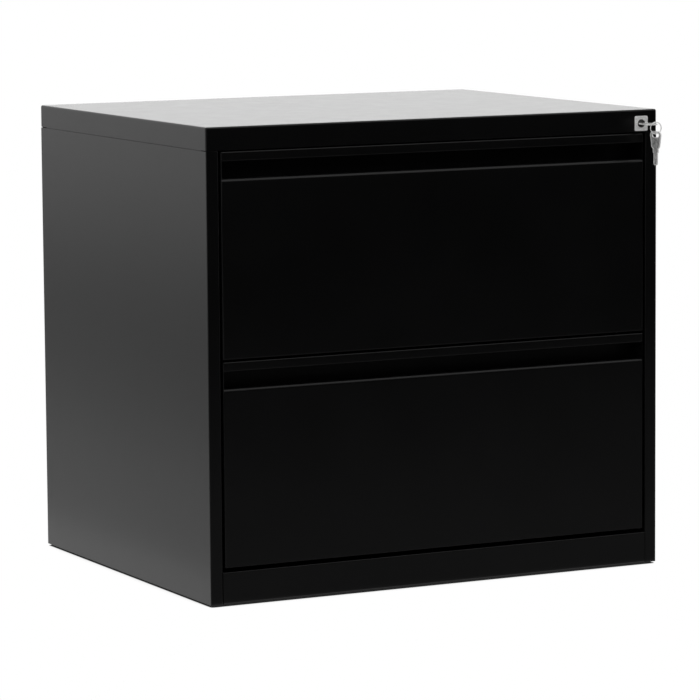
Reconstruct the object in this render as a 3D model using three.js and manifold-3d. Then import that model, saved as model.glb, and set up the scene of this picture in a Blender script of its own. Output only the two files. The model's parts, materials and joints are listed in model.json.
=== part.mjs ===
// Two-drawer lateral filing cabinet in folded sheet steel, with telescopic slides and a cam lock.
// Millimetres. X runs to the right seen from the front, Y to the back, Z up from the floor.
import * as THREE from "three";
import { mergeVertices } from "three/addons/utils/BufferGeometryUtils.js";
import Module from "manifold-3d";

const wasm = await Module();
wasm.setup();

// Case
const caseWidth = 768;
const caseDepth = 622;
const caseHeight = 711;
const sheet = 1;
const foldRadius = 1.2;
const seat = 0.3;
const capFlange = 34.5;
const capEdgeRadius = 3;
const capCornerRadius = 3.5;
const capSeam = 1;
const joggleHeight = 18;
const joggleEndGap = 20;
const stileWidth = 20;
const stileReturn = 13;
const rearReturn = 15;
const plinthHeight = 48;
const plinthTopReturn = 30;
const plinthBottomReturn = 12;
const bottomPanelFlange = 15;
const topRailDepth = 24;

// Levelling feet
const footPadHeight = 3;
const footPadDiameter = 28;
const footStemDiameter = 8;
const footStemLength = 22;
const footInsetX = 22;
const footInsetY = 30;
const footFlangeWidth = 44;
const weldNutDiameter = 15;
const weldNutHeight = 7;

// Drawer fronts, with a full-width pull: flat strip, recess, rolled lip, flat face
const topGap = 2;
const drawerGap = 3;
const plinthGap = 6;
const sideGap = 4;
const frontReturn = 16;
const stripHeight = 14.5;
const recessMouth = 25;
const recessDepth = 35;
const lipRadius = 6;
const grooveDepth = 16;
const pullFlange = 12;

// Drawer trays
const trayInset = 20;
const trayLength = 550;
const trayHeight = 244;
const trayRise = 8;
const railTrim = 1.2;
const railLeg = 24;
const railShelf = 8;
const railLip = 10;
const centreRailWidth = 10;
const backHem = 10;

// Telescopic slides
const slideThickness = 12.7;
const slideHeight = 45.7;
const slideLength = 550;
const slideSheet = 1.3;
const slideRun = 0.8;
const slideFront = 24;
const slideRise = 60;

// Uprights that carry the slides
const uprightFront = 46;
const uprightWidth = 26;
const uprightFoot = 12;
const uprightSheet = 1.2;
const uprightRearGap = 14;
const uprightTopGap = 6;

// Lock
const lockFromSide = 28.7;
const lockFromTop = 21.4;
const lockPlateSize = 23;
const lockPlateThickness = 1.5;
const lockPlateCorner = 2;
const barrelDiameter = 18;
const barrelLength = 27;
const nutFlats = 23;
const nutHeight = 5;
const plugDiameter = 12;
const plugProud = 0.8;
const camThickness = 2.5;
const camRadius = 14;
const camRestAngle = Math.PI / 4;
const camWidth = 8;
const camPinDiameter = 5;
const camPinLength = 11;
const camScrewDiameter = 4.4;
const camScrewHead = 9;
const camScrewHeadHeight = 3;
const camScrewGrip = 7;

// Lock bar, with a hook for each drawer
const barThickness = 2;
const barWidth = 14;
const barFromStile = 0.5;
const barToCatch = 2.3;
const barTopReach = 7.5;
const slotClearance = 0.6;
const hookReach = 9;
const hookHeight = 12;
const hookLift = 4;
const catchSetback = 4.2;
const catchRise = 190;
const catchHeight = 16;
const catchThickness = 2;
const catchReach = 20.7;
const catchLeg = 20;
const guideSheet = 1.2;
const guideHeight = 20;
const guideRise = 60;

// Keys and ring
const keyThickness = 2.2;
const keySlotLength = 14;
const keySlotWidth = 6.4;
const keyBowWidth = 22;
const keyTopRadius = 6;
const keyNeckWidth = 17;
const keyShoulderRadius = 4;
const keyBowLength = 27;
const keyCollarWidth = 11;
const keyCollarLength = 6;
const keyBladeWidth = 7.5;
const keyBladeLength = 19.5;
const ringRadius = 9;
const ringWire = 1.6;
const ringTurn = THREE.MathUtils.degToRad(-6.8);
const spareKeyTurn = THREE.MathUtils.degToRad(-76);
const ringHang = 5.9;
const spareKeyHang = 1.8;

// Facets, the least gap between points and how far a cutter runs past what it cuts
const foldSteps = 3;
const curveSteps = 6;
const leastGap = 1e-4;
const overrun = 1;
const roundSteps = 24;
const ringSteps = 32;
const ringSides = 8;

// Worked-out places
const halfWidth = caseWidth / 2;
const innerHalf = halfWidth - sheet - seat;
const frontHalf = halfWidth - stileWidth - sideGap;
const trayHalf = frontHalf - trayInset;
const slideX = trayHalf + seat;
const uprightX = slideX + slideThickness + seat;
const baseZ = footPadHeight;
const plinthTop = baseZ + plinthHeight;
const capBottom = caseHeight - capFlange;
const sideTop = capBottom - capSeam;
const drawersBottom = plinthTop + plinthGap;
const drawersTop = capBottom - topGap;
const frontHeight = (drawersTop - drawersBottom - drawerGap) / 2;
const drawerPitch = frontHeight + drawerGap;
const ceilingZ = frontHeight - stripHeight;
const lipTop = ceilingZ - recessMouth;
const grooveZ = lipTop - grooveDepth;
const pullBottom = grooveZ - pullFlange;
const pullTop = ceilingZ + pullFlange;
const pullBack = recessDepth + sheet;
const pullHalf = frontHalf - sheet - seat;
const linerY = pullBack + seat;
const trayY = linerY + sheet + seat;
const trayTop = trayRise + trayHeight;
const trayEnd = trayY + trayLength;
const railEnd = trayEnd - backHem - seat;
const bottomPanelTop = plinthTop - sheet - seat;
const uprightBottom = bottomPanelTop + seat;
const uprightTop = sideTop - uprightTopGap;
const uprightRear = slideFront + slideLength - uprightRearGap - uprightWidth;
const lockX = halfWidth - lockFromSide;
const lockZ = caseHeight - lockFromTop;
const plateFront = -(seat + lockPlateThickness);
const plugFront = plateFront - plugProud;
const camY = barrelLength + seat;
const barX = halfWidth - stileWidth + barFromStile;
const catchY = trayY + catchSetback;
const barY = catchY - barToCatch - barThickness;
const pinX = camRadius * Math.cos(camRestAngle);
const pinZ = camRadius * Math.sin(camRestAngle);
const barTop = lockZ + pinZ + barTopReach;
const keyHoleY = plugFront - keyCollarLength - keyBowLength + keyTopRadius;
const ringSeat = (keyBowWidth + keySlotLength) / 4;

// Finishes
function finish(color, roughness, metalness) {
  return () => new THREE.MeshStandardMaterial({ color, roughness, metalness });
}
const blackCoat = finish(0x141414, 0.45, 0);
const zincSteel = finish(0x9fa3a6, 0.38, 1);
const brightSteel = finish(0xb8b8b6, 0.28, 1);
const darkSteel = finish(0x4a4a4a, 0.4, 1);
const blackRubber = finish(0x1a1a1a, 0.8, 0);

// Solids from shapes, and shapes joined or cut
function solidOf(geometry) {
  const bare = geometry.clone();
  bare.deleteAttribute("normal");
  bare.deleteAttribute("uv");
  const merged = mergeVertices(bare, leastGap);
  const vertProperties = new Float32Array(merged.getAttribute("position").array);
  const triVerts = new Uint32Array(merged.index.array);
  return new wasm.Manifold(new wasm.Mesh({ numProp: 3, vertProperties, triVerts }));
}

function geometryOf(solid) {
  const mesh = solid.getMesh();
  const geometry = new THREE.BufferGeometry();
  geometry.setAttribute("position", new THREE.BufferAttribute(mesh.vertProperties, 3));
  geometry.setIndex(new THREE.BufferAttribute(mesh.triVerts, 1));
  const faceted = geometry.toNonIndexed();
  faceted.computeVertexNormals();
  return faceted;
}

function join(...geometries) {
  return geometryOf(geometries.map(solidOf).reduce((whole, piece) => whole.add(piece)));
}

function cut(geometry, ...tools) {
  return geometryOf(tools.map(solidOf).reduce((whole, tool) => whole.subtract(tool), solidOf(geometry)));
}

function keepInside(geometry, limit) {
  return geometryOf(solidOf(geometry).intersect(solidOf(limit)));
}

// A block between two opposite corners
function block(x0, x1, y0, y1, z0, z1) {
  const geometry = new THREE.BoxGeometry(x1 - x0, y1 - y0, z1 - z0);
  return geometry.translate((x0 + x1) / 2, (y0 + y1) / 2, (z0 + z1) / 2);
}

// A round bar along Y or Z
function rodY(diameter, y0, y1) {
  const rod = new THREE.CylinderGeometry(diameter / 2, diameter / 2, y1 - y0, roundSteps);
  return rod.translate(0, (y0 + y1) / 2, 0);
}

function rodZ(diameter, z0, z1) {
  return rodY(diameter, z0, z1).rotateX(Math.PI / 2);
}

// An outline drawn in two axes and drawn out along the third
function extrude(shape, length) {
  return new THREE.ExtrudeGeometry(shape, { depth: length, bevelEnabled: false, curveSegments: curveSteps });
}

function alongX(shape, x0, x1) {
  const turn = new THREE.Matrix4().makeBasis(
    new THREE.Vector3(0, 1, 0),
    new THREE.Vector3(0, 0, 1),
    new THREE.Vector3(1, 0, 0),
  );
  return extrude(shape, x1 - x0).applyMatrix4(turn).translate(x0, 0, 0);
}

function alongY(shape, y0, y1) {
  return extrude(shape, y1 - y0).rotateX(Math.PI / 2).translate(0, y1, 0);
}

function alongZ(shape, z0, z1) {
  return extrude(shape, z1 - z0).translate(0, 0, z0);
}

function roundedRectangle(x0, x1, y0, y1, radius) {
  const shape = new THREE.Shape();
  shape.absarc(x1 - radius, y1 - radius, radius, 0, Math.PI / 2);
  shape.absarc(x0 + radius, y1 - radius, radius, Math.PI / 2, Math.PI);
  shape.absarc(x0 + radius, y0 + radius, radius, Math.PI, 1.5 * Math.PI);
  shape.absarc(x1 - radius, y0 + radius, radius, 1.5 * Math.PI, 2 * Math.PI);
  return shape;
}

// A slot with round ends
function oblong(x0, x1, y, radius) {
  const shape = new THREE.Shape();
  shape.absarc(x1 - radius, y, radius, -Math.PI / 2, Math.PI / 2);
  shape.absarc(x0 + radius, y, radius, Math.PI / 2, 1.5 * Math.PI);
  return shape;
}

// The section of a folded sheet. The corners run along its face, with the sheet to the right of them.
// A corner may carry its own inside radius as a third number.
function foldedSheet(corners, thickness = sheet) {
  const points = corners.map(([x, y]) => new THREE.Vector2(x, y));
  const headings = points.slice(1).map((point, i) => point.clone().sub(points[i]).normalize());
  const toRight = (heading) => new THREE.Vector2(heading.y, -heading.x);
  const face = [points[0]];
  const reverse = [points[0].clone().addScaledVector(toRight(headings[0]), thickness)];
  for (let i = 1; i < points.length - 1; i++) {
    const before = headings[i - 1];
    const after = headings[i];
    const turn = Math.atan2(before.cross(after), before.dot(after));
    const inside = corners[i][2] ?? foldRadius;
    const faceRadius = turn < 0 ? inside + thickness : inside;
    const sideToCentre = turn < 0 ? 1 : -1;
    const start = points[i].clone().addScaledVector(before, -faceRadius * Math.tan(Math.abs(turn) / 2));
    const spoke = toRight(before).multiplyScalar(-sideToCentre);
    const centre = start.clone().addScaledVector(spoke, -faceRadius);
    const reverseRadius = faceRadius - sideToCentre * thickness;
    const steps = Math.max(foldSteps, Math.round(faceRadius));
    for (let k = 0; k <= steps; k++) {
      const arm = spoke.clone().rotateAround(new THREE.Vector2(), (turn * k) / steps);
      face.push(centre.clone().addScaledVector(arm, faceRadius));
      reverse.push(centre.clone().addScaledVector(arm, reverseRadius));
    }
  }
  face.push(points.at(-1));
  reverse.push(points.at(-1).clone().addScaledVector(toRight(headings.at(-1)), thickness));
  const outline = [...face, ...reverse.reverse()];
  const apart = (point, i) => i === 0 || point.distanceTo(outline[i - 1]) > leastGap;
  return new THREE.Shape(outline.filter(apart));
}

function named(name, geometry, material) {
  const mesh = new THREE.Mesh(geometry, material());
  mesh.name = name;
  return mesh;
}

// A piece on the left of the case and its mirror image on the right
function pair(makeName, geometry, material) {
  const left = named(makeName("left"), geometry, material);
  const right = named(makeName("right"), geometry, material);
  right.scale.x = -1;
  return [left, right];
}

// Left side panel: stile and returns, foot flange with weld nuts, and the edge that tucks into the cap
function sidePanel() {
  const section = foldedSheet([
    [-halfWidth + stileWidth, stileReturn],
    [-halfWidth + stileWidth, 0],
    [-halfWidth, 0],
    [-halfWidth, caseDepth],
    [-halfWidth + rearReturn, caseDepth],
  ]);
  const flangeFront = stileReturn + seat;
  const flangeBack = caseDepth - sheet / 2;
  const flangeEdge = -halfWidth + footFlangeWidth;
  const wallX = -halfWidth + sheet / 2;
  const tuckX = -innerHalf;
  const tuckFront = joggleEndGap;
  const tuckBack = caseDepth - joggleEndGap;
  const panel = join(
    alongZ(section, baseZ, sideTop),
    block(wallX, flangeEdge, flangeFront, flangeBack, baseZ, baseZ + sheet),
    block(wallX, tuckX + sheet, tuckFront, tuckBack, sideTop - sheet, sideTop),
    block(tuckX, tuckX + sheet, tuckFront, tuckBack, sideTop - sheet, sideTop + joggleHeight),
    ...footPlaces().map((y) => atFoot(rodZ(weldNutDiameter, baseZ, baseZ + sheet + weldNutHeight), y)),
  );
  const stemHole = footStemDiameter + 2 * seat;
  return cut(panel, ...footPlaces().map((y) => atFoot(rodZ(stemHole, 0, 2 * footStemLength), y)));
}

function footPlaces() {
  return [footInsetY, caseDepth - footInsetY];
}

function atFoot(geometry, y) {
  return geometry.translate(-halfWidth + footInsetX, y, 0);
}

// Levelling foot: a round pad with a chamfered rim on a threaded stem
function foot() {
  const padRadius = footPadDiameter / 2;
  const padTop = footPadHeight - seat;
  const chamfer = padTop / 3;
  const profile = [
    [0, 0],
    [padRadius - chamfer, 0],
    [padRadius, chamfer],
    [padRadius, padTop],
    [footStemDiameter / 2, padTop],
    [footStemDiameter / 2, footStemLength],
    [0, footStemLength],
  ];
  const points = profile.map(([radius, z]) => new THREE.Vector2(radius, z));
  return new THREE.LatheGeometry(points, roundSteps).rotateX(Math.PI / 2);
}

// Cap: a pan with soft top edges and a flange all round
function capBlock(inset, bottom) {
  const radius = capEdgeRadius - inset;
  const x = halfWidth - inset - radius;
  const y = inset + radius;
  const plan = roundedRectangle(-x, x, y, caseDepth - y, capCornerRadius - capEdgeRadius);
  const height = caseHeight - inset - radius - bottom;
  const bulk = new THREE.ExtrudeGeometry(plan, {
    depth: height + 2 * radius,
    bevelThickness: radius,
    bevelSize: radius,
    bevelSegments: foldSteps,
    curveSegments: foldSteps,
  });
  return bulk.translate(0, 0, bottom - 2 * radius);
}

function topCap() {
  const below = block(-caseWidth, caseWidth, -caseDepth, 2 * caseDepth, 0, capBottom);
  const lockHole = rodY(barrelDiameter + 2 * seat, -sheet, 2 * sheet).translate(lockX, 0, lockZ);
  return cut(capBlock(0, capBottom), capBlock(sheet, capBottom - sheet), below, lockHole);
}

// Rail behind the cap's front flange, which stiffens the opening and holds the lock
function topRail() {
  const railHalf = innerHalf - sheet - seat;
  const face = sheet + seat;
  const section = foldedSheet([
    [face + topRailDepth, capBottom],
    [face, capBottom],
    [face, caseHeight - capEdgeRadius - seat],
  ]);
  const lockHole = rodY(barrelDiameter + 2 * seat, 0, topRailDepth).translate(lockX, 0, lockZ);
  return cut(alongX(section, -railHalf, railHalf), lockHole);
}

function backPanel() {
  const outer = caseDepth - sheet - seat;
  const bottom = baseZ + sheet + seat;
  const top = caseHeight - sheet - seat;
  const section = foldedSheet([
    [outer - backHem, top],
    [outer, top],
    [outer, bottom],
    [outer - backHem, bottom],
  ]);
  const half = innerHalf - foldRadius;
  return alongX(section, -half, half);
}

function bottomPanel() {
  const front = stileReturn + seat;
  const back = caseDepth - 2 * (sheet + seat);
  const section = foldedSheet([
    [front, bottomPanelTop - bottomPanelFlange],
    [front, bottomPanelTop],
    [back, bottomPanelTop],
    [back, bottomPanelTop - bottomPanelFlange],
  ]);
  return alongX(section, -innerHalf, innerHalf);
}

// Plinth rail between the stiles, with closed ends
function plinthRail() {
  const half = halfWidth - stileWidth - seat;
  const section = foldedSheet([
    [plinthBottomReturn, baseZ],
    [0, baseZ],
    [0, plinthTop],
    [plinthTopReturn, plinthTop],
  ]);
  const end = roundedRectangle(0, plinthBottomReturn, baseZ, plinthTop, foldRadius + sheet);
  return join(
    alongX(section, -half, half),
    alongX(end, -half, sheet - half),
    alongX(end, half - sheet, half),
  );
}

// Hat-section upright on the left side
function upright(y) {
  const footX = -innerHalf;
  const webX = -uprightX - uprightSheet;
  const section = foldedSheet(
    [
      [footX, y - uprightFoot],
      [footX, y],
      [webX, y],
      [webX, y + uprightWidth],
      [footX, y + uprightWidth],
      [footX, y + uprightWidth + uprightFoot],
    ],
    uprightSheet,
  );
  return alongZ(section, uprightBottom, uprightTop);
}

// Slide members, nested channels, measured from the tray side and the slide's centre line
function slideChannel(web, tip, halfHeight) {
  const corners = [
    [tip, halfHeight],
    [web, halfHeight],
    [web, -halfHeight],
    [tip, -halfHeight],
  ];
  const section = foldedSheet(web > tip ? corners : corners.reverse(), slideSheet);
  return alongY(section, slideFront, slideFront + slideLength);
}

function slideMembers() {
  const step = slideSheet + slideRun;
  const half = slideHeight / 2;
  return {
    outer: slideChannel(slideThickness, slideSheet + slideRun, half),
    middle: slideChannel(slideThickness - step, slideSheet, half - step),
    inner: slideChannel(0, slideThickness - 2 * step, half - 2 * step),
  };
}

// Drawer front: face, rolled lip and the wall behind it, with end plates that also close the pull's recess
function drawerFront() {
  const lipInside = lipRadius - sheet;
  const section = foldedSheet([
    [frontReturn, 0],
    [0, 0],
    [0, lipTop, lipInside],
    [2 * lipRadius, lipTop, lipInside],
    [2 * lipRadius, pullBottom],
  ]);
  const corner = foldRadius + sheet;
  const fold = roundedRectangle(0, frontReturn, 0, frontHeight, corner);
  const recess = roundedRectangle(0, pullBack, pullBottom, pullTop, corner);
  const ends = [-frontHalf, frontHalf - sheet].flatMap((x) => [
    alongX(fold, x, x + sheet),
    alongX(recess, x, x + sheet),
  ]);
  const plan = roundedRectangle(-frontHalf, frontHalf, 0, 2 * recessDepth, corner);
  return keepInside(join(alongX(section, -frontHalf, frontHalf), ...ends), alongZ(plan, 0, frontHeight));
}

// Top of the pull: the strip, the recess's ceiling and a flange up the inner panel
function pullStrip() {
  const section = foldedSheet([
    [pullBack, pullTop],
    [pullBack, ceilingZ],
    [0, ceilingZ],
    [0, frontHeight],
    [frontReturn, frontHeight],
  ]);
  return alongX(section, -pullHalf, pullHalf);
}

// Floor of the groove behind the lip, with a flange down each side
function pullFloor() {
  const front = 2 * lipRadius + seat;
  const section = foldedSheet([
    [front, pullBottom],
    [front, grooveZ],
    [pullBack, grooveZ],
    [pullBack, pullBottom],
  ]);
  return alongX(section, -pullHalf, pullHalf);
}

// Inner front panel: sits on the front's bottom return and widens to form the back of the recess
function drawerLiner() {
  const flangeTop = 2 * sheet + seat;
  const section = foldedSheet([
    [foldRadius + 2 * sheet, flangeTop],
    [linerY, flangeTop],
    [linerY, pullTop],
  ]);
  const recessBack = block(-frontHalf, frontHalf, linerY, linerY + sheet, pullBottom, pullTop);
  return join(alongX(section, -trayHalf, trayHalf), recessBack);
}

function drawerTray() {
  const section = foldedSheet([
    [trayHalf, trayTop],
    [trayHalf, trayRise],
    [-trayHalf, trayRise],
    [-trayHalf, trayTop],
  ]);
  return alongY(section, trayY, trayY + trayLength);
}

function drawerBack() {
  const half = trayHalf - sheet - seat;
  const bottom = trayRise + sheet + foldRadius;
  const section = foldedSheet([
    [trayEnd - backHem, trayTop],
    [trayEnd, trayTop],
    [trayEnd, bottom],
    [trayEnd - backHem, bottom],
  ]);
  return alongX(section, -half, half);
}

// Hanging rails for suspension files: a shelf and an upstanding lip on each side, a channel in the middle
function sideRail() {
  const wall = -trayHalf + sheet + seat;
  const shelfZ = trayTop - railLip;
  const section = foldedSheet(
    [
      [wall, shelfZ - railLeg],
      [wall, shelfZ],
      [wall + railShelf, shelfZ],
      [wall + railShelf, trayTop],
    ],
    railTrim,
  );
  return alongY(section, trayY, railEnd);
}

function centreRail() {
  const half = centreRailWidth / 2;
  const shelfZ = trayTop - railLip;
  const section = foldedSheet(
    [
      [half, trayTop],
      [half, shelfZ - railTrim],
      [-half, shelfZ - railTrim],
      [-half, trayTop],
    ],
    railTrim,
  );
  return alongY(section, trayY, railEnd);
}

// Catch on the tray's right side, which the lock bar's hook holds
function lockCatch() {
  const root = trayHalf + seat;
  const section = foldedSheet(
    [
      [root + catchReach, catchY],
      [root, catchY],
      [root, catchY + catchLeg],
    ],
    catchThickness,
  );
  return alongZ(section, catchRise, catchRise + catchHeight);
}

// Lock plate, barrel, nut and plug, round an axis at the origin that runs along Y
function lockPlate() {
  const half = lockPlateSize / 2;
  const face = roundedRectangle(-half, half, -half, half, lockPlateCorner);
  return cut(alongY(face, plateFront, -seat), rodY(plugDiameter + 2 * seat, plugFront, barrelLength));
}

function lockBarrel() {
  const bore = rodY(plugDiameter + 2 * seat, -overrun, barrelLength + overrun);
  return cut(rodY(barrelDiameter, 0, barrelLength), bore);
}

function lockNut() {
  const acrossCorners = nutFlats / Math.cos(Math.PI / 6);
  const front = 2 * (sheet + seat);
  const hexagon = new THREE.CylinderGeometry(acrossCorners / 2, acrossCorners / 2, nutHeight, 6);
  const nut = hexagon.rotateY(Math.PI / 6).translate(0, front + nutHeight / 2, 0);
  return cut(nut, rodY(barrelDiameter + 2 * seat, 0, barrelLength));
}

function lockPlug() {
  const slotHalfWidth = keyBladeWidth / 2 + seat;
  const slotHalfHeight = keyThickness / 2 + seat;
  const slotEnd = plugFront + keyBladeLength + seat;
  const slotStart = plugFront - overrun;
  const keyway = block(-slotHalfWidth, slotHalfWidth, slotStart, slotEnd, -slotHalfHeight, slotHalfHeight);
  const tappingStart = barrelLength - camScrewGrip - seat;
  const tapping = rodY(camScrewDiameter + 2 * seat, tappingStart, barrelLength + overrun);
  return cut(rodY(plugDiameter, plugFront, barrelLength), keyway, tapping);
}

// Cam: an arm with round ends on the plug's back, and the pin that drives the lock bar
function lockCam() {
  const arm = new THREE.Shape();
  const half = camWidth / 2;
  arm.absarc(0, 0, half, Math.PI / 2, 1.5 * Math.PI);
  arm.absarc(camRadius, 0, half, -Math.PI / 2, Math.PI / 2);
  const camBack = camY + camThickness;
  const pin = rodY(camPinDiameter, camY, camBack + camPinLength).translate(camRadius, 0, 0);
  const screwHole = rodY(camScrewDiameter + 2 * seat, camY - overrun, camBack + overrun);
  return cut(join(alongY(arm, camY, camBack), pin), screwHole).rotateY(-camRestAngle);
}

function camScrew() {
  const headFront = camY + camThickness + seat;
  const shank = rodY(camScrewDiameter, barrelLength - camScrewGrip, headFront + overrun);
  return join(shank, rodY(camScrewHead, headFront, headFront + camScrewHeadHeight));
}

// Lock bar: a strip behind the right stile with a slot for the cam's pin and a hook above each catch
function lockBar(catchBottoms) {
  const back = barY + barThickness;
  const slotHalf = camPinDiameter / 2 + slotClearance;
  const slotLeft = lockX + pinX - slotHalf;
  const slotRight = lockX + camRadius + slotHalf;
  const slotZ = lockZ + pinZ;
  const lowestHook = Math.min(...catchBottoms) + catchHeight + hookLift;
  const strip = block(barX, barX + barWidth, barY, back, lowestHook, barTop);
  const head = block(slotLeft - barTopReach / 2, barX + overrun, barY, back, slotZ - barTopReach, barTop);
  const hooks = catchBottoms.map((z) => {
    const bottom = z + catchHeight + hookLift;
    return block(barX - hookReach, barX + overrun, barY, back, bottom, bottom + hookHeight);
  });
  const slot = oblong(slotLeft, slotRight, slotZ, slotHalf);
  return cut(join(strip, head, ...hooks), alongY(slot, barY - overrun, back + overrun));
}

// Guide: a strap round the lock bar on the front of the right front upright
function barGuide() {
  const left = barX - guideSheet - foldRadius;
  const right = barX + barWidth + guideSheet + foldRadius;
  const front = barY - guideSheet - seat;
  const back = uprightFront - uprightSheet - seat;
  const section = foldedSheet(
    [
      [right, back],
      [right, front],
      [left, front],
      [left, back],
    ],
    guideSheet,
  );
  return alongZ(section, 0, guideHeight);
}

// Key drawn in its own plane, blade up, with the slot in the bow at the origin
function keyOutline() {
  const collarBottom = keyBowLength - keyTopRadius;
  const bladeBottom = collarBottom + keyCollarLength;
  const tip = bladeBottom + keyBladeLength;
  const topX = keyBowWidth / 2 - keyTopRadius;
  const shoulderX = keyNeckWidth / 2 - keyShoulderRadius;
  const shoulderY = collarBottom - keyShoulderRadius;
  const sideLength = Math.hypot(shoulderX - topX, shoulderY);
  const sideHeading = Math.atan2(shoulderY, shoulderX - topX);
  const lean = sideHeading - Math.acos((keyTopRadius - keyShoulderRadius) / sideLength);
  const outline = new THREE.Shape();
  outline.absarc(-topX, 0, keyTopRadius, Math.PI - lean, 1.5 * Math.PI);
  outline.absarc(topX, 0, keyTopRadius, -Math.PI / 2, lean);
  outline.absarc(shoulderX, shoulderY, keyShoulderRadius, lean, Math.PI / 2);
  outline.lineTo(keyCollarWidth / 2, collarBottom);
  outline.lineTo(keyCollarWidth / 2, bladeBottom);
  outline.lineTo(keyBladeWidth / 2, bladeBottom);
  outline.lineTo(keyBladeWidth / 2, tip - keyBladeWidth / 4);
  outline.lineTo(keyBladeWidth / 4, tip);
  outline.lineTo(-keyBladeWidth / 4, tip);
  outline.lineTo(-keyBladeWidth / 2, tip - keyBladeWidth / 4);
  outline.lineTo(-keyBladeWidth / 2, bladeBottom);
  outline.lineTo(-keyCollarWidth / 2, bladeBottom);
  outline.lineTo(-keyCollarWidth / 2, collarBottom);
  outline.absarc(-shoulderX, shoulderY, keyShoulderRadius, Math.PI / 2, Math.PI - lean);
  outline.holes.push(oblong(-keySlotLength / 2, keySlotLength / 2, 0, keySlotWidth / 2));
  return outline;
}

// The key lies flat, with its blade pointing into the lock
function key() {
  return extrude(keyOutline(), keyThickness).translate(0, 0, -keyThickness / 2);
}

function keyRing() {
  const ring = new THREE.TorusGeometry(ringRadius, ringWire / 2, ringSides, ringSteps);
  return ring.rotateX(Math.PI / 2).translate(0, 0, -ringHang);
}

const sides = ["left", "right"];
const signOf = { left: -1, right: 1 };

function caseGroup() {
  const group = new THREE.Group();
  group.add(...pair((side) => `side_panel_${side}`, sidePanel(), blackCoat));
  group.add(named("top_cap", topCap(), blackCoat));
  group.add(named("back_panel", backPanel(), blackCoat));
  group.add(named("bottom_panel", bottomPanel(), blackCoat));
  group.add(named("plinth_rail", plinthRail(), blackCoat));
  group.add(named("top_front_rail", topRail(), blackCoat));
  group.add(...pair((side) => `front_upright_${side}`, upright(uprightFront), zincSteel));
  group.add(...pair((side) => `rear_upright_${side}`, upright(uprightRear), zincSteel));
  const ends = ["front", "rear"];
  for (const side of sides) {
    footPlaces().forEach((y, i) => {
      const mesh = named(`foot_${ends[i]}_${side}`, foot(), blackRubber);
      mesh.position.set(signOf[side] * (halfWidth - footInsetX), y, 0);
      group.add(mesh);
    });
  }
  return group;
}

function drawerGroup(level) {
  const group = new THREE.Group();
  group.add(named(`${level}_drawer_front`, drawerFront(), blackCoat));
  group.add(named(`${level}_pull_strip`, pullStrip(), blackCoat));
  group.add(named(`${level}_pull_floor`, pullFloor(), blackCoat));
  group.add(named(`${level}_drawer_liner`, drawerLiner(), blackCoat));
  group.add(named(`${level}_drawer_tray`, drawerTray(), blackCoat));
  group.add(named(`${level}_drawer_back`, drawerBack(), blackCoat));
  group.add(...pair((side) => `${level}_hanging_rail_${side}`, sideRail(), zincSteel));
  group.add(named(`${level}_hanging_rail_centre`, centreRail(), zincSteel));
  group.add(named(`${level}_lock_catch`, lockCatch(), zincSteel));
  const members = slideMembers();
  for (const side of sides) {
    for (const member of Object.keys(members)) {
      const mesh = named(`${level}_slide_${member}_${side}`, members[member], zincSteel);
      mesh.scale.x = signOf[side];
      mesh.position.set(signOf[side] * slideX, 0, slideRise);
      group.add(mesh);
    }
  }
  return group;
}

function lockGroup() {
  const group = new THREE.Group();
  group.add(named("lock_plate", lockPlate(), brightSteel));
  group.add(named("lock_barrel", lockBarrel(), brightSteel));
  group.add(named("lock_nut", lockNut(), zincSteel));
  group.add(named("lock_plug", lockPlug(), darkSteel));
  group.add(named("lock_cam", lockCam(), zincSteel));
  group.add(named("cam_screw", camScrew(), zincSteel));
  const inserted = named("inserted_key", key(), brightSteel);
  inserted.position.y = keyHoleY;
  const ring = named("key_ring", keyRing(), brightSteel);
  ring.position.set(ringSeat, keyHoleY, 0);
  ring.rotation.z = ringTurn;
  const spare = named("spare_key", key().rotateX(-Math.PI / 2), brightSteel);
  spare.position.set(ringSeat, keyHoleY, -ringHang - ringRadius - spareKeyHang);
  spare.rotation.z = spareKeyTurn;
  group.add(inserted, ring, spare);
  return group;
}

const lower = drawerGroup("lower");
lower.position.z = drawersBottom;
const upper = drawerGroup("upper");
upper.position.z = drawersBottom + drawerPitch;
const lock = lockGroup();
lock.position.set(lockX, 0, lockZ);
const levels = [lower.position.z, upper.position.z];
const bar = named("lock_bar", lockBar(levels.map((z) => z + catchRise)), zincSteel);
const guides = ["lower", "upper"].map((level, i) => {
  const guide = named(`bar_guide_${level}`, barGuide(), zincSteel);
  guide.position.z = levels[i] + catchRise + guideRise;
  return guide;
});

// The origin lies on the floor, under the middle of the cabinet and the keys that stand out of its front
const cabinet = new THREE.Group();
cabinet.add(caseGroup(), upper, lower, lock, bar, ...guides);
const reach = new THREE.Box3().setFromObject(cabinet, true);
cabinet.position.y = -(reach.min.y + reach.max.y) / 2;

export default new THREE.Group().add(cabinet);
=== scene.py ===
"""Black two-drawer lateral filing cabinet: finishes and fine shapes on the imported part, in a studio."""
import json
import math

import bmesh
import bpy
from mathutils import Matrix, Vector


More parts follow.
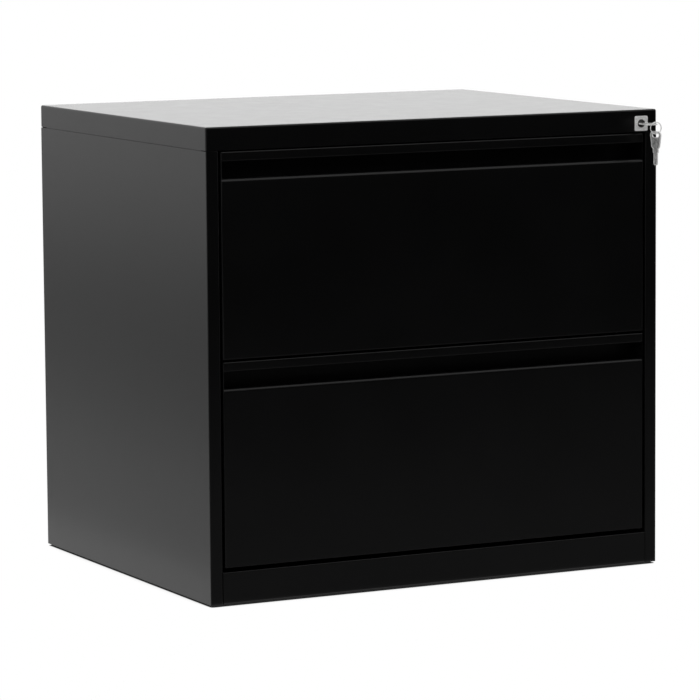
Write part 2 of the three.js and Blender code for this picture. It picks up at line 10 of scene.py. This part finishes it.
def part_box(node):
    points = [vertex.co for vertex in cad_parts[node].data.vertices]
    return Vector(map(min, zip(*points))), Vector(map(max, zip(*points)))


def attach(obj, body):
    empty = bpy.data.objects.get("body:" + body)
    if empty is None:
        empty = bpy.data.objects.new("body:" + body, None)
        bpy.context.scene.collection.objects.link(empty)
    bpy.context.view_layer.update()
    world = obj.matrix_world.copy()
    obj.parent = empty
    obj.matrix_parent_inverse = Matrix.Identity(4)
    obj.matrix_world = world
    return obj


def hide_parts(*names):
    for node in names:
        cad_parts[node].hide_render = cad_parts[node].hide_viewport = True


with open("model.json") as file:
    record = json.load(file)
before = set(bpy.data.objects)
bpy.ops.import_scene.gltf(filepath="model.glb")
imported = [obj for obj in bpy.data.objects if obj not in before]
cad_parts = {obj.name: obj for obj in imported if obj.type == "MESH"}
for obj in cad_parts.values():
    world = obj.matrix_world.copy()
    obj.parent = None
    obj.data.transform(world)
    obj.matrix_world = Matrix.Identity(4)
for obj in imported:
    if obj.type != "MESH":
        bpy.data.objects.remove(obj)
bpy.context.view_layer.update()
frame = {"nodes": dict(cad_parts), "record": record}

bl_info = {
    "name": "Lateral filing cabinet",
    "version": (1, 0, 0),
    "blender": (4, 5, 0),
    "location": "View3D > Sidebar > Cabinet",
    "description": "Dresses the packed filing cabinet and sets it in a plain studio",
    "category": "Object",
}

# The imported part
NODES = frame["nodes"]
BODIES = frame["record"]["behaviour"]["bodies"]
BODY_OF = {node: body for body, nodes in BODIES.items() for node in nodes}
SLOT_OF = {row["node"]: row["material_slot"] for row in frame["record"]["subparts"]}
LEVELS = ("upper", "lower")
SIDES = {"left": -1, "right": 1}
QUARTER_TURN = math.radians(90.0)

# Meshes: corners this close are one, edges this short go, and the angles of flat, smooth and sharp
MERGE = 0.00002
SPECK = 0.000005
FLAT_ANGLE = math.radians(0.6)
SMOOTH_ANGLE = math.radians(38.0)
SHARP_ANGLE = math.radians(50.0)
LEAST_EDGE = 0.85  # shortest edge that takes a rounding, in widths of the rounding
SAME_WAY = 0.99  # faces whose normals agree this well face the same way
LARGE_FACES_LEAD = 100  # weight of large faces where normals are evened

# Rivets: the slide's sheet under them, their number and sides, and shares of the head's radius and rise
SLIDE_SHEET = 0.0013
RIVETS = 4
RIVET_SIDES = 20
RIVET_CROWN = 0.72
RIVET_RIM = 0.3
RIVET_HOLLOW = 0.5

# Finishes: where a noise starts and ends, the coat's drift of roughness, and the mark of a coined face
NOISE_LOW = 0.3
NOISE_HIGH = 0.7
COAT_DRIFT = 0.01
SUNK = "sunk"
MIX_SHARE, MIX_FIRST, MIX_SECOND, MIX_RESULT = 0, 6, 7, 2  # sockets of a mix node for colours
WHITE = (1.0, 1.0, 1.0, 1.0)

# Stage: how far the middle of the case lies to the right of the lens's axis and below it, and plain sizes
CASE_RIGHT = -0.00753
CASE_DOWN = -0.02858
SENSOR_WIDTH = 36.0
CLIP_END = 100.0
FLOOR_SIZE = 60.0
REFLECTION_CARD_LIFT = 0.002
FLAT = Matrix.Identity(4)

# The floor's shadow: its reach, how open the floor is at its darkest and at its end, darkest grey, samples
SHADOW_REACH = 0.12
SHADOW_START = 0.30
SHADOW_END = 0.52
SHADOW_GREY = 0.02
SHADOW_SAMPLES = 32


def length(name, description, default):
    """A size in metres that a user may change."""
    return bpy.props.FloatProperty(name=name, description=description, default=default, min=0.0,
                                   precision=5, unit="LENGTH", subtype="DISTANCE")


def colour(name, description, default):
    """A colour that a user may change."""
    return bpy.props.FloatVectorProperty(name=name, description=description, default=default, size=3,
                                         min=0.0, max=1.0, subtype="COLOR")


def factor(name, description, default):
    """A share from nothing to all."""
    return bpy.props.FloatProperty(name=name, description=description, default=default, min=0.0, max=1.0,
                                   subtype="FACTOR")


class CabinetSizes(bpy.types.PropertyGroup):
    """Sizes of the fine shapes."""
    sheet_ease: length("Sheet edge", "Rounding of a cut sheet's edge under its coat", 0.0003)
    metal_ease: length("Metal edge", "Rounding of a pressed or turned piece's edge", 0.0003)
    plate_ease: length("Lock plate edge", "Bevel round the lock plate", 0.0006)
    key_rim: length("Key rim", "Width of the raised rim round the key", 0.0014)
    key_sink: length("Key sink", "Depth of the coined face inside the key's rim", 0.0003)
    rivet_head: length("Rivet head", "Diameter of the heads that hold the slides to the trays", 0.008)
    rivet_rise: length("Rivet rise", "Height of those heads", 0.0018)
    rivet_pitch: length("Rivet pitch", "From one of those heads to the next", 0.128)
    rivet_start: length("Rivet start", "From the slide's front end to the first head", 0.037)


class CabinetFinish(bpy.types.PropertyGroup):
    """Colours and gloss of the finishes."""
    coat: colour("Coat", "Black satin powder coat", (0.0018, 0.0018, 0.0019))
    coat_gloss: factor("Coat roughness", "Mean roughness of the powder coat", 0.30)
    zinc: colour("Zinc", "Zinc-plated steel", (0.50, 0.51, 0.52))
    nickel: colour("Nickel", "Dull nickel plate of the lock and keys", (0.88, 0.88, 0.87))
    plug: colour("Lock plug", "Dark turned steel", (0.12, 0.12, 0.12))
    foot: colour("Foot", "Moulded black plastic", (0.02, 0.02, 0.02))


class CabinetStage(bpy.types.PropertyGroup):
    """Camera, light and floor."""
    azimuth: bpy.props.FloatProperty(name="Azimuth", description="Camera's turn round the cabinet",
                                     default=math.radians(-27.05486), subtype="ANGLE", unit="ROTATION")
    elevation: bpy.props.FloatProperty(name="Elevation", description="Camera's height over the horizon",
                                       default=math.radians(7.10755), subtype="ANGLE", unit="ROTATION")
    roll: bpy.props.FloatProperty(name="Roll", description="Camera's turn about its own axis",
                                  default=math.radians(-0.4205), subtype="ANGLE", unit="ROTATION")
    distance: length("Distance", "From the camera to the middle of the case", 6.29914)
    lens: bpy.props.FloatProperty(name="Lens", description="Focal length", default=205.081, unit="CAMERA")
    ambient: factor("Ambient", "Even light from all round", 0.8)
    floor: colour("Floor", "Pale studio floor", (0.86, 0.86, 0.86))


def sizes():
    """The sizes as the user has them."""
    return bpy.context.scene.cabinet_sizes


def finish():
    """The finishes as the user has them."""
    return bpy.context.scene.cabinet_finish


def stage():
    """The stage as the user has it."""
    return bpy.context.scene.cabinet_stage


# Materials

def shade(tone, share):
    """A colour made darker or lighter."""
    return tuple(min(1.0, channel * share) for channel in tone)


class Nodes:
    """A material's node tree with short calls."""

    def __init__(self, name):
        self.material = bpy.data.materials.new(name)
        self.material.use_nodes = True
        self.tree = self.material.node_tree
        self.tree.nodes.clear()
        self.out = self.add("ShaderNodeOutputMaterial")

    def add(self, kind, **values):
        """A new node with some of its settings."""
        node = self.tree.nodes.new(kind)
        for key, value in values.items():
            setattr(node, key, value)
        return node

    def link(self, source, target):
        """Joins an output to an input."""
        self.tree.links.new(source, target)

    def place(self, scale=(1.0, 1.0, 1.0), centre=(0.0, 0.0, 0.0)):
        """The surface's own place in metres, from a centre or stretched along an axis where a grain runs."""
        coordinates = self.add("ShaderNodeTexCoord")
        mapping = self.add("ShaderNodeMapping")
        mapping.inputs["Location"].default_value = -Vector(centre)
        mapping.inputs["Scale"].default_value = scale
        self.link(coordinates.outputs["Object"], mapping.inputs["Vector"])
        return mapping.outputs["Vector"]

    def noise(self, vector, scale, detail=2.0, roughness=0.5):
        """A soft random pattern, with so many waves to the metre."""
        node = self.add("ShaderNodeTexNoise")
        node.inputs["Scale"].default_value = scale
        node.inputs["Detail"].default_value = detail
        node.inputs["Roughness"].default_value = roughness
        self.link(vector, node.inputs["Vector"])
        return node.outputs["Fac"]

    def ramp(self, value, low, high, start=NOISE_LOW, end=NOISE_HIGH):
        """Spreads a value between two numbers."""
        node = self.add("ShaderNodeMapRange")
        node.inputs["From Min"].default_value = start
        node.inputs["From Max"].default_value = end
        node.inputs["To Min"].default_value = low
        node.inputs["To Max"].default_value = high
        self.link(value, node.inputs["Value"])
        return node.outputs["Result"]

    def tint(self, value, tone, dark, light):
        """Runs between a darker and a lighter shade of a colour."""
        node = self.add("ShaderNodeValToRGB")
        node.color_ramp.elements[0].position = NOISE_LOW
        node.color_ramp.elements[1].position = NOISE_HIGH
        node.color_ramp.elements[0].color = (*shade(tone, dark), 1.0)
        node.color_ramp.elements[1].color = (*shade(tone, light), 1.0)
        self.link(value, node.inputs["Fac"])
        return node.outputs["Color"]

    def mix(self, share, first, second):
        """Runs from one colour to another by a share."""
        node = self.add("ShaderNodeMix", data_type="RGBA")
        self.link(share, node.inputs[MIX_SHARE])
        self.link(first, node.inputs[MIX_FIRST])
        self.link(second, node.inputs[MIX_SECOND])
        return node.outputs[MIX_RESULT]

    def bump(self, height, strength, distance, below=None):
        """A fine relief, on another one or on the bare surface."""
        node = self.add("ShaderNodeBump")
        node.inputs["Strength"].default_value = strength
        node.inputs["Distance"].default_value = distance
        self.link(height, node.inputs["Height"])
        if below is not None:
            self.link(below, node.inputs["Normal"])
        return node.outputs["Normal"]

    def shader(self, colour_socket, roughness, normal, **values):
        """Ends the tree with the surface's shader."""
        node = self.add("ShaderNodeBsdfPrincipled")
        self.link(colour_socket, node.inputs["Base Color"])
        self.link(roughness, node.inputs["Roughness"])
        self.link(normal, node.inputs["Normal"])
        for key, value in values.items():
            node.inputs[key.replace("_", " ")].default_value = value
        self.link(node.outputs["BSDF"], self.out.inputs["Surface"])
        return self.material


def powder_coat():
    """Black satin coat: a fine orange peel, slight drifts of gloss and tone."""
    nodes = Nodes("black_powder_coat")
    place = nodes.place()
    tone = nodes.tint(nodes.noise(place, scale=9.0, detail=3.0), finish().coat, dark=0.85, light=1.2)
    mean = finish().coat_gloss
    drift = nodes.noise(place, scale=34.0, detail=4.0)
    gloss = nodes.ramp(drift, low=mean - COAT_DRIFT, high=mean + COAT_DRIFT)
    peel = nodes.bump(nodes.noise(place, scale=1100.0), strength=0.16, distance=0.0003)
    waves = nodes.noise(place, scale=130.0, detail=1.0)
    swell = nodes.bump(waves, strength=0.004, distance=0.0006, below=peel)
    return nodes.shader(tone, gloss, swell, IOR=1.36)


def zinc_plate():
    """Bright zinc over rolled steel: a rolled grain along the slides, faint clouds and dull patches."""
    nodes = Nodes("zinc_plate")
    cloud_place = nodes.place(scale=(1.0, 0.3, 1.0))
    grain_place = nodes.place(scale=(1.0, 0.04, 1.0))
    clouds = nodes.noise(cloud_place, scale=210.0, detail=5.0, roughness=0.65)
    tone = nodes.tint(clouds, finish().zinc, dark=0.84, light=1.08)
    gloss = nodes.ramp(nodes.noise(nodes.place(), scale=48.0, detail=4.0), low=0.28, high=0.42)
    grain = nodes.bump(nodes.noise(grain_place, scale=1400.0), strength=0.12, distance=0.0001)
    return nodes.shader(tone, gloss, grain, Metallic=1.0)


def nickel_plate():
    """Dull nickel: handled, with fine scratches and dark specks, and worn grey on a key's coined face."""
    nodes = Nodes("nickel_plate")
    place = nodes.place()
    scratch_place = nodes.place(scale=(1.0, 1.0, 0.12))
    specks = nodes.noise(place, scale=420.0, detail=5.0, roughness=0.6)
    bright = nodes.tint(specks, finish().nickel, dark=0.78, light=1.1)
    wear = nodes.noise(place, scale=260.0, detail=4.0, roughness=0.6)
    coined = nodes.tint(wear, finish().nickel, dark=0.16, light=0.68)
    sunk = nodes.add("ShaderNodeAttribute", attribute_type="GEOMETRY", attribute_name=SUNK)
    tone = nodes.mix(sunk.outputs["Fac"], bright, coined)
    gloss = nodes.ramp(nodes.noise(place, scale=260.0, detail=4.0), low=0.34, high=0.48)
    scratch = nodes.bump(nodes.noise(scratch_place, scale=3200.0), strength=0.10, distance=0.00005)
    return nodes.shader(tone, gloss, scratch, Metallic=0.45)


def turned_steel():
    """Dark plug: turned rings round the lock's axis."""
    nodes = Nodes("turned_steel")
    lo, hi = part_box("lock_plug")
    rings = nodes.add("ShaderNodeTexWave", wave_type="RINGS", rings_direction="Y")
    rings.inputs["Scale"].default_value = 700.0
    rings.inputs["Distortion"].default_value = 0.4
    nodes.link(nodes.place(centre=(lo + hi) / 2), rings.inputs["Vector"])
    place = nodes.place()
    tone = nodes.tint(nodes.noise(place, scale=500.0, detail=4.0), finish().plug, dark=0.7, light=1.25)
    gloss = nodes.ramp(nodes.noise(place, scale=300.0, detail=3.0), low=0.3, high=0.45)
    marks = nodes.bump(rings.outputs["Fac"], strength=0.12, distance=0.00005)
    return nodes.shader(tone, gloss, marks, Metallic=1.0)


def moulded_plastic():
    """Black moulded foot: fine grain, no gloss."""
    nodes = Nodes("moulded_plastic")
    place = nodes.place()
    tone = nodes.tint(nodes.noise(place, scale=160.0, detail=3.0), finish().foot, dark=0.8, light=1.3)
    gloss = nodes.ramp(nodes.noise(place, scale=220.0, detail=3.0), low=0.5, high=0.62)
    grain = nodes.bump(nodes.noise(place, scale=1500.0), strength=0.2, distance=0.0001)
    return nodes.shader(tone, gloss, grain, IOR=1.45)


MAKERS = {"black_coat": powder_coat, "zinc_steel": zinc_plate, "bright_steel": nickel_plate,
          "dark_steel": turned_steel, "foot_plastic": moulded_plastic}
MADE = {}


def material_for(slot):
    """The finish of a material slot, made once."""
    if slot not in MADE:
        MADE[slot] = MAKERS[slot]()
    return MADE[slot]


# Pieces

def keep_piece(bm, name, slot, body, replaced=()):
    """Writes a finished bmesh as a piece that rides on a body and stands for CAD nodes."""
    if not bm.faces:
        raise RuntimeError(f"{name} has no faces")
    mesh = bpy.data.meshes.new(name)
    bm.to_mesh(mesh)
    bm.free()
    mesh.shade_smooth()
    mesh.set_sharp_from_angle(angle=SMOOTH_ANGLE)
    mesh.materials.append(material_for(slot))
    piece = bpy.data.objects.new(name, mesh)
    bpy.context.scene.collection.objects.link(piece)
    even = piece.modifiers.new("even_flats", "WEIGHTED_NORMAL")
    even.mode = "FACE_AREA"
    even.weight = LARGE_FACES_LEAD
    even.keep_sharp = True
    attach(piece, body)
    if replaced:
        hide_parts(*replaced)


def merged_copy(node):
    """A bmesh of a CAD node with its corners merged and its flat faces whole."""
    bm = bmesh.new()
    bm.from_mesh(NODES[node].data)
    bmesh.ops.remove_doubles(bm, verts=bm.verts, dist=MERGE)
    bmesh.ops.dissolve_limit(bm, angle_limit=FLAT_ANGLE, use_dissolve_boundaries=False,
                             verts=bm.verts, edges=bm.edges, delimit=set())
    return bm


def plain_corner(vert, width):
    """Tells whether a corner has three edges, each long enough to take the rounding."""
    least = width * LEAST_EDGE
    return len(vert.link_edges) == 3 and all(edge.calc_length() > least for edge in vert.link_edges)


def ease_edges(bm, width, segments=2, plain_only=False):
    """Rounds sharp edges by a small bevel, or only those between plain corners, and clears specks."""
    edges = [edge for edge in bm.edges
             if len(edge.link_faces) == 2 and edge.calc_face_angle(0.0) > SHARP_ANGLE]
    if plain_only:
        edges = [edge for edge in edges if all(plain_corner(vert, width) for vert in edge.verts)]
    bmesh.ops.bevel(bm, geom=edges, offset=width, offset_type="OFFSET", segments=segments, profile=0.5,
                    affect="EDGES", material=-1, clamp_overlap=False)
    bmesh.ops.dissolve_degenerate(bm, dist=SPECK, edges=bm.edges)
    bmesh.ops.dissolve_verts(bm, verts=[vert for vert in bm.verts if len(vert.link_edges) == 2])


def eased_piece(node, width, segments=2, plain_only=False):
    """A CAD node's own shape with its edges eased and its folds smooth."""
    bm = merged_copy(node)
    ease_edges(bm, width, segments, plain_only=plain_only)
    keep_piece(bm, f"{node}_finished", SLOT_OF[node], BODY_OF[node], (node,))


def finish_nodes(nodes):
    """Gives CAD nodes that stay as they are their finish."""
    for node in nodes:
        data = NODES[node].data
        data.materials.clear()
        data.materials.append(material_for(SLOT_OF[node]))


class CABINET_OT_case(bpy.types.Operator):
    """Coats the case: sides, cap, plinth, back, floor and top rail"""
    bl_idname = "cabinet.case"
    bl_label = "Case"

    def execute(self, context):
        for node in ("side_panel_left", "side_panel_right", "top_cap", "back_panel"):
            eased_piece(node, sizes().sheet_ease)
        eased_piece("plinth_rail", sizes().sheet_ease, plain_only=True)
        finish_nodes(("bottom_panel", "top_front_rail"))
        return {"FINISHED"}


class CABINET_OT_feet(bpy.types.Operator):
    """Finishes the four levelling feet"""
    bl_idname = "cabinet.feet"
    bl_label = "Feet"

    def execute(self, context):
        for node in BODIES["case"]:
            if node.startswith("foot_"):
                eased_piece(node, sizes().metal_ease)
        return {"FINISHED"}


class CABINET_OT_uprights(bpy.types.Operator):
    """Plates the uprights, the lock bar and its guides"""
    bl_idname = "cabinet.uprights"
    bl_label = "Uprights and lock bar"

    def execute(self, context):
        finish_nodes(node for node in BODIES["case"] if "upright" in node or "guide" in node)
        finish_nodes(("lock_bar",))
        return {"FINISHED"}


class CABINET_OT_drawer_fronts(bpy.types.Operator):
    """Coats the folded drawer fronts with their full-width pulls"""
    bl_idname = "cabinet.drawer_fronts"
    bl_label = "Drawer fronts"

    def execute(self, context):
        for level in LEVELS:
            eased_piece(f"{level}_drawer_front", sizes().sheet_ease, plain_only=True)
            for part in ("pull_strip", "pull_floor"):
                eased_piece(f"{level}_{part}", sizes().sheet_ease)
        return {"FINISHED"}


class CABINET_OT_drawer_insides(bpy.types.Operator):
    """Coats the trays, liners and backs, and plates the hanging rails and catches"""
    bl_idname = "cabinet.drawer_insides"
    bl_label = "Drawer insides"

    def execute(self, context):
        for level in LEVELS:
            for part in ("drawer_tray", "drawer_back", "drawer_liner",
                         "hanging_rail_left", "hanging_rail_right", "hanging_rail_centre"):
                eased_piece(f"{level}_{part}", sizes().sheet_ease)
            finish_nodes((f"{level}_lock_catch",))
        return {"FINISHED"}


class CABINET_OT_slides(bpy.types.Operator):
    """Plates the telescopic slides"""
    bl_idname = "cabinet.slides"
    bl_label = "Slides"

    def execute(self, context):
        for nodes in BODIES.values():
            finish_nodes(node for node in nodes if "_slide_" in node)
        return {"FINISHED"}


def rivet(bm, place, outward):
    """A round head with a hollow in it, on a face at a place."""
    head = sizes().rivet_head / 2
    rise = sizes().rivet_rise
    turn = Matrix.Rotation(QUARTER_TURN * outward, 4, "Y")
    middle = Matrix.Translation(place) @ turn @ Matrix.Translation((0.0, 0.0, rise / 2))
    made = bmesh.ops.create_cone(bm, cap_ends=True, segments=RIVET_SIDES, radius1=head,
                                 radius2=head * RIVET_CROWN, depth=rise, matrix=middle)
    faces = {face for vert in made["verts"] for face in vert.link_faces}
    crown = max(faces, key=lambda face: face.calc_center_median().x * outward)
    bmesh.ops.inset_region(bm, faces=[crown], thickness=head * RIVET_RIM, depth=-rise * RIVET_HOLLOW,
                           use_even_offset=True)


class CABINET_OT_rivets(bpy.types.Operator):
    """Sets the rivets that hold the slides to the trays"""
    bl_idname = "cabinet.rivets"
    bl_label = "Slide rivets"

    def execute(self, context):
        for level in LEVELS:
            bm = bmesh.new()
            for side, outward in SIDES.items():
                lo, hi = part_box(f"{level}_slide_inner_{side}")
                web = (hi.x if outward < 0 else lo.x) + outward * SLIDE_SHEET
                for step in range(RIVETS):
                    y = lo.y + sizes().rivet_start + step * sizes().rivet_pitch
                    rivet(bm, Vector((web, y, (lo.z + hi.z) / 2)), outward)
            keep_piece(bm, f"{level}_slide_rivets", "zinc_steel", f"{level}_drawer")
        return {"FINISHED"}


class CABINET_OT_lock(bpy.types.Operator):
    """Finishes the lock: plate, barrel, nut, plug, cam and screw"""
    bl_idname = "cabinet.lock"
    bl_label = "Lock"

    def execute(self, context):
        eased_piece("lock_plate", sizes().plate_ease, segments=3)
        eased_piece("lock_plug", sizes().metal_ease, segments=3)
        finish_nodes(("lock_barrel", "lock_nut", "lock_cam", "cam_screw"))
        return {"FINISHED"}


class CABINET_OT_keys(bpy.types.Operator):
    """Coins the two keys and finishes their ring"""
    bl_idname = "cabinet.keys"
    bl_label = "Keys and ring"

    def execute(self, context):
        for node in ("inserted_key", "spare_key"):
            bm = merged_copy(node)
            sunk = bm.faces.layers.float.new(SUNK)
            normal = max(bm.faces, key=lambda face: face.calc_area()).normal.copy()
            for sign in (1.0, -1.0):
                cheek = [face for face in bm.faces if face.normal.dot(normal) * sign > SAME_WAY]
                bmesh.ops.inset_region(bm, faces=cheek, thickness=sizes().key_rim, depth=-sizes().key_sink,
                                       use_boundary=True, use_even_offset=False)
                for face in cheek:
                    face[sunk] = 1.0
            ease_edges(bm, sizes().metal_ease / 2)
            keep_piece(bm, f"{node}_finished", SLOT_OF[node], BODY_OF[node], (node,))
        eased_piece("key_ring", sizes().metal_ease)
        return {"FINISHED"}


# Stage

def white_to_lens(tree):
    """One for rays that see the background: camera, mirror and glass rays."""
    path = tree.nodes.new("ShaderNodeLightPath")
    seen = path.outputs["Is Camera Ray"]
    for name in ("Is Glossy Ray", "Is Transmission Ray"):
        either = tree.nodes.new("ShaderNodeMath")
        either.operation = "MAXIMUM"
        tree.links.new(seen, either.inputs[0])
        tree.links.new(path.outputs[name], either.inputs[1])
        seen = either.outputs[0]
    return seen


def camera_pose():
    """Where the camera stands and how it is turned, from the photograph's corners of the case."""
    settings = stage()
    azimuth, elevation, roll = settings.azimuth, settings.elevation, settings.roll
    back = Vector((math.sin(azimuth) * math.cos(elevation), -math.cos(azimuth) * math.cos(elevation),
                   math.sin(elevation)))
    forward = -back
    right = forward.cross(Vector((0.0, 0.0, 1.0))).normalized()
    down = forward.cross(right)
    rolled_right = right * math.cos(roll) - down * math.sin(roll)
    rolled_down = right * math.sin(roll) + down * math.cos(roll)
    lo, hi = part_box("top_cap")
    middle = Vector((0.0, (lo.y + hi.y) / 2, hi.z / 2))
    place = middle - rolled_right * CASE_RIGHT - rolled_down * CASE_DOWN - forward * settings.distance
    turn = Matrix((rolled_right, -rolled_down, -forward)).transposed().to_4x4()
    return Matrix.Translation(place) @ turn


def card(name, size, material, place=(0.0, 0.0, 0.0), turn=FLAT):
    """A flat card of the stage, centred on a place."""
    bm = bmesh.new()
    bmesh.ops.create_grid(bm, x_segments=1, y_segments=1, size=0.5)
    bmesh.ops.scale(bm, verts=bm.verts, vec=(*size, 1.0))
    bm.transform(Matrix.Translation(place) @ turn)
    mesh = bpy.data.meshes.new(name)
    bm.to_mesh(mesh)
    bm.free()
    mesh.materials.append(material)
    made = bpy.data.objects.new(name, mesh)
    bpy.context.scene.collection.objects.link(made)
    return made


def reflection_card(name, size, place, turn, low, high, rise):
    """Painted reflection: a glowing card only mirror rays see, one grey at the floor to another at a rise
    over it.
    """
    nodes = Nodes(name)
    split = nodes.add("ShaderNodeSeparateXYZ")
    nodes.link(nodes.place(), split.inputs["Vector"])
    glow = nodes.add("ShaderNodeEmission")
    nodes.link(nodes.ramp(split.outputs["Z"], low, high, start=0.0, end=rise), glow.inputs["Strength"])
    nodes.link(glow.outputs["Emission"], nodes.out.inputs["Surface"])
    made = card(name, size, nodes.material, place, turn)
    made.visible_camera = False
    made.visible_diffuse = False
    made.visible_shadow = False
    made.visible_transmission = False
    made.visible_volume_scatter = False


def floor_reflection_card(name, size, right, back, grey):
    """A painted reflection: a glowing card of one grey that lies just over the floor."""
    reflection_card(name, size, (right, back, REFLECTION_CARD_LIFT), FLAT, grey, grey, rise=1.0)


def lamp(name, place, target, size, power):
    """A soft box that the camera doesn't see."""
    data = bpy.data.lights.new(name, "AREA")
    data.shape = "RECTANGLE"
    data.size, data.size_y = size
    data.energy = power
    made = bpy.data.objects.new(name, data)
    bpy.context.scene.collection.objects.link(made)
    place = Vector(place)
    turn = (Vector(target) - place).to_track_quat("-Z", "Y")
    made.matrix_world = Matrix.Translation(place) @ turn.to_matrix().to_4x4()
    made.visible_camera = False


def floor_material():
    """Pale floor: white to the lens with a soft shadow round the cabinet, and its own tone to other rays."""
    nodes = Nodes("pale_floor")
    near = nodes.add("ShaderNodeAmbientOcclusion", samples=SHADOW_SAMPLES)
    near.inputs["Distance"].default_value = SHADOW_REACH
    lift = nodes.ramp(near.outputs["AO"], low=SHADOW_GREY, high=1.0, start=SHADOW_START, end=SHADOW_END)
    glow = nodes.add("ShaderNodeEmission")
    nodes.link(lift, glow.inputs["Strength"])
    plain = nodes.add("ShaderNodeBsdfDiffuse")
    plain.inputs["Color"].default_value = (*stage().floor, 1.0)
    mix = nodes.add("ShaderNodeMixShader")
    nodes.link(white_to_lens(nodes.tree), mix.inputs["Fac"])
    nodes.link(plain.outputs["BSDF"], mix.inputs[1])
    nodes.link(glow.outputs["Emission"], mix.inputs[2])
    nodes.link(mix.outputs["Shader"], nodes.out.inputs["Surface"])
    return nodes.material


def white_world():
    """White all round to the lens, a plain even light to the surfaces."""
    world = bpy.data.worlds.new("studio")
    bpy.context.scene.world = world
    world.use_nodes = True
    tree = world.node_tree
    tree.nodes.clear()
    out = tree.nodes.new("ShaderNodeOutputWorld")
    seen = tree.nodes.new("ShaderNodeBackground")
    even = tree.nodes.new("ShaderNodeBackground")
    for node, strength in ((seen, 1.0), (even, stage().ambient)):
        node.inputs["Strength"].default_value = strength
        node.inputs["Color"].default_value = WHITE
    mix = tree.nodes.new("ShaderNodeMixShader")
    tree.links.new(white_to_lens(tree), mix.inputs["Fac"])
    tree.links.new(even.outputs["Background"], mix.inputs[1])
    tree.links.new(seen.outputs["Background"], mix.inputs[2])
    tree.links.new(mix.outputs["Shader"], out.inputs["Surface"])


class CABINET_OT_stage(bpy.types.Operator):
    """Sets the camera, the soft light, the pale floor and the glowing cards the coat mirrors: painted
    reflections
    """
    bl_idname = "cabinet.stage"
    bl_label = "Stage"

    def execute(self, context):
        scene = context.scene
        scene.view_settings.view_transform = "Standard"
        data = bpy.data.cameras.new("camera")
        data.lens = stage().lens
        data.sensor_width = SENSOR_WIDTH
        data.clip_end = CLIP_END
        camera = bpy.data.objects.new("camera", data)
        scene.collection.objects.link(camera)
        camera.matrix_world = camera_pose()
        scene.camera = camera
        card("studio_floor", (FLOOR_SIZE, FLOOR_SIZE), floor_material())
        white_world()
        lamp("rear_box", place=(2.2, 4.0, 2.0), target=(0.2, 0.0, 0.6), size=(3.0, 2.4), power=21.0)
        lamp("left_box", place=(-3.0, -1.6, 2.6), target=(0.0, 0.0, 0.4), size=(2.0, 2.0), power=20.0)
        upright = Matrix.Rotation(QUARTER_TURN, 4, "X")
        # Painted reflections for the front: a card glowing faintly near the floor and dark above, and a grey
        # card on the floor before the case
        reflection_card("front_reflection_card", size=(6.0, 1.1), place=(0.8, -1.1, 0.55), turn=upright,
             low=0.13, high=0.0, rise=0.32)
        floor_reflection_card("floor_reflection_card", size=(6.0, 0.8), right=0.8, back=-0.7, grey=0.2)
        # Painted reflections for the left side: a card dark near the floor and bright above it, and grey
        # cards on the floor beside the case
        sideways = Matrix.Rotation(QUARTER_TURN, 4, "Z") @ upright
        reflection_card("side_reflection_card", size=(14.0, 2.0), place=(-1.4, 6.4, 1.03), turn=sideways,
             low=0.02, high=1.0, rise=0.49)
        floor_reflection_card("side_floor_reflection_card", size=(0.55, 5.0), right=-0.775, back=2.0, grey=0.72)
        floor_reflection_card("side_dip_reflection_card", size=(0.35, 5.0), right=-1.225, back=2.0, grey=0.38)
        return {"FINISHED"}


class CABINET_PT_panel(bpy.types.Panel):
    """Lists the cabinet's pieces in the sidebar"""
    bl_label = "Filing cabinet"
    bl_idname = "CABINET_PT_panel"
    bl_space_type = "VIEW_3D"
    bl_region_type = "UI"
    bl_category = "Cabinet"

    def draw(self, context):
        for operator in OPERATORS:
            self.layout.operator(operator.bl_idname)
        scene = context.scene
        for group in (scene.cabinet_sizes, scene.cabinet_finish, scene.cabinet_stage):
            column = self.layout.column(align=True)
            for name in group.__annotations__:
                column.prop(group, name)


OPERATORS = (CABINET_OT_case, CABINET_OT_feet, CABINET_OT_uprights, CABINET_OT_drawer_fronts,
             CABINET_OT_drawer_insides, CABINET_OT_slides, CABINET_OT_rivets, CABINET_OT_lock,
             CABINET_OT_keys, CABINET_OT_stage)
CLASSES = (CabinetSizes, CabinetFinish, CabinetStage, *OPERATORS, CABINET_PT_panel)


def register():
    """Makes the classes and their settings known to Blender."""
    for cls in CLASSES:
        bpy.utils.register_class(cls)
    bpy.types.Scene.cabinet_sizes = bpy.props.PointerProperty(type=CabinetSizes)
    bpy.types.Scene.cabinet_finish = bpy.props.PointerProperty(type=CabinetFinish)
    bpy.types.Scene.cabinet_stage = bpy.props.PointerProperty(type=CabinetStage)


def unregister():
    """Takes them out again."""
    del bpy.types.Scene.cabinet_stage
    del bpy.types.Scene.cabinet_finish
    del bpy.types.Scene.cabinet_sizes
    for cls in reversed(CLASSES):
        bpy.utils.unregister_class(cls)


def main():
    """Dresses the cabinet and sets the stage."""
    register()
    bpy.ops.cabinet.case()
    bpy.ops.cabinet.feet()
    bpy.ops.cabinet.uprights()
    bpy.ops.cabinet.drawer_fronts()
    bpy.ops.cabinet.drawer_insides()
    bpy.ops.cabinet.slides()
    bpy.ops.cabinet.rivets()
    bpy.ops.cabinet.lock()
    bpy.ops.cabinet.keys()
    bpy.ops.cabinet.stage()


if __name__ == "__main__":
    main()
